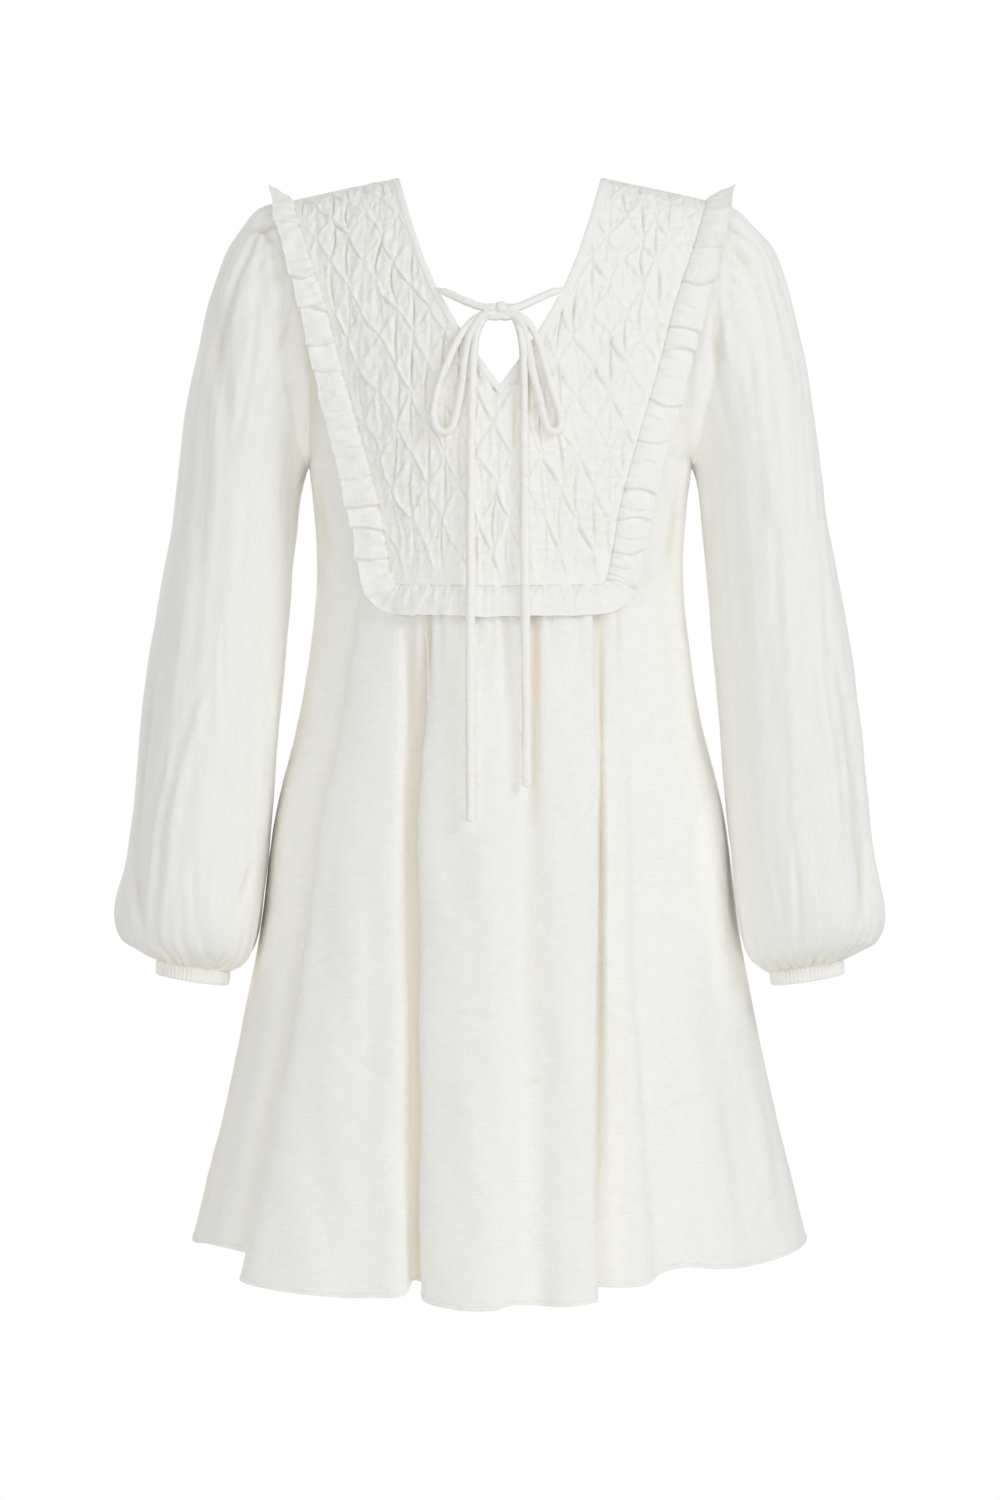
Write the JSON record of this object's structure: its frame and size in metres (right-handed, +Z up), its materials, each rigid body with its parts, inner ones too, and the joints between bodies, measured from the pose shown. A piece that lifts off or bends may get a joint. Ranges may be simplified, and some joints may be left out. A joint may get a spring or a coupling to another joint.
{
  "type": "smocked mini dress",
  "caption": "Long-sleeved linen mini dress in its worn shape: smocked bib edged with a ruffle, V neckline tied in a bow, balloon sleeves on narrow cuffs and a flared skirt.",
  "frame": {"origin": "midway between the two points where the neckline meets the shoulder seams, where the wearer's shoulders carry the dress", "axes": "+Z up along the body, the front of the dress faces -Y, +X towards the sleeve that a viewer facing the front sees on the right"},
  "size_m": [0.6132, 0.3465, 0.8759],
  "materials": {
    "linen": "soft washed plain-weave linen, off-white, matt",
    "linen_trim": "the same off-white linen cut as a gathered ruffle, a bias binding and rouleau ties"
  },
  "bodies": {
    "root": {"front_panel": "linen", "back_panel": "linen", "bib_front": "linen", "sleeve_left": "linen", "sleeve_right": "linen", "cuff_left": "linen", "cuff_right": "linen", "neck_binding": "linen_trim", "bib_ruffle": "linen_trim", "tie_knot": "linen_trim", "tie_strand_left": "linen_trim", "tie_strand_right": "linen_trim", "tie_loop_left": "linen_trim", "tie_loop_right": "linen_trim", "tie_tail_left": "linen_trim", "tie_tail_right": "linen_trim"}
  },
  "joints": []
}
